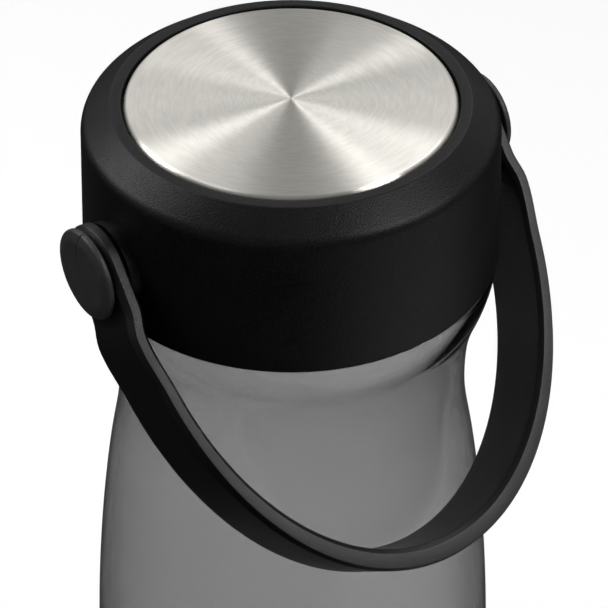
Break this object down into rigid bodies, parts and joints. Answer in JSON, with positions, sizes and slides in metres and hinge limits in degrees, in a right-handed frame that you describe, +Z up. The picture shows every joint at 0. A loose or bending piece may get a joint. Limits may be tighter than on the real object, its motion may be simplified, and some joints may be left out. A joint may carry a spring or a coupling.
{
  "type": "drinking bottle",
  "caption": "Smoke-tinted drinking bottle with a waist, a black screw cap topped by a brushed steel disc, and a carry strap that swings on side pivots.",
  "frame": {"origin": "centre of the flat the bottle stands on, on the bottle's axis", "axes": "+Z up along the bottle's axis, X along the line through the strap's two pivots, and -Y to the side the strap leans on at rest"},
  "size_m": [0.0896, 0.0911, 0.24],
  "materials": {
    "smoke_plastic": "gloss",
    "black_cap": "satin",
    "black_liner": "matte",
    "silicone": "matte",
    "brushed_disc": "brushed",
    "adhesive": "matte",
    "black_strap": "satin",
    "black_button": "satin",
    "black_retainer": "matte"
  },
  "bodies": {
    "bottle": {"bottle_body": "smoke_plastic"},
    "seal": {"seal_ring": "silicone"},
    "cap": {"cap_shell": "black_cap", "cap_liner": "black_liner", "steel_disc": "brushed_disc", "disc_adhesive": "adhesive", "pivot_button_left": "black_button", "pivot_button_right": "black_button", "stud_retainer_left": "black_retainer", "stud_retainer_right": "black_retainer"},
    "strap": {"carry_strap": "black_strap"}
  },
  "joints": [
    {"name": "cap_lift", "type": "slide", "parent": "bottle", "child": "seal", "axis": [0, 0, 1], "range_m": [0, 0.0224]},
    {"name": "cap_turn", "type": "hinge", "parent": "seal", "child": "cap", "pos_m": [0, 0, 0.2], "axis": [0, 0, 1], "range_deg": [0, 1440]},
    {"name": "strap_swing", "type": "hinge", "parent": "cap", "child": "strap", "pos_m": [0, 0, 0.2195], "axis": [-1, 0, 0], "range_deg": [0, 282.6]}
  ],
  "couplings": [
    {"joint": "cap_lift", "follows": "cap_turn", "m_per_rad": 0.00089127}
  ]
}
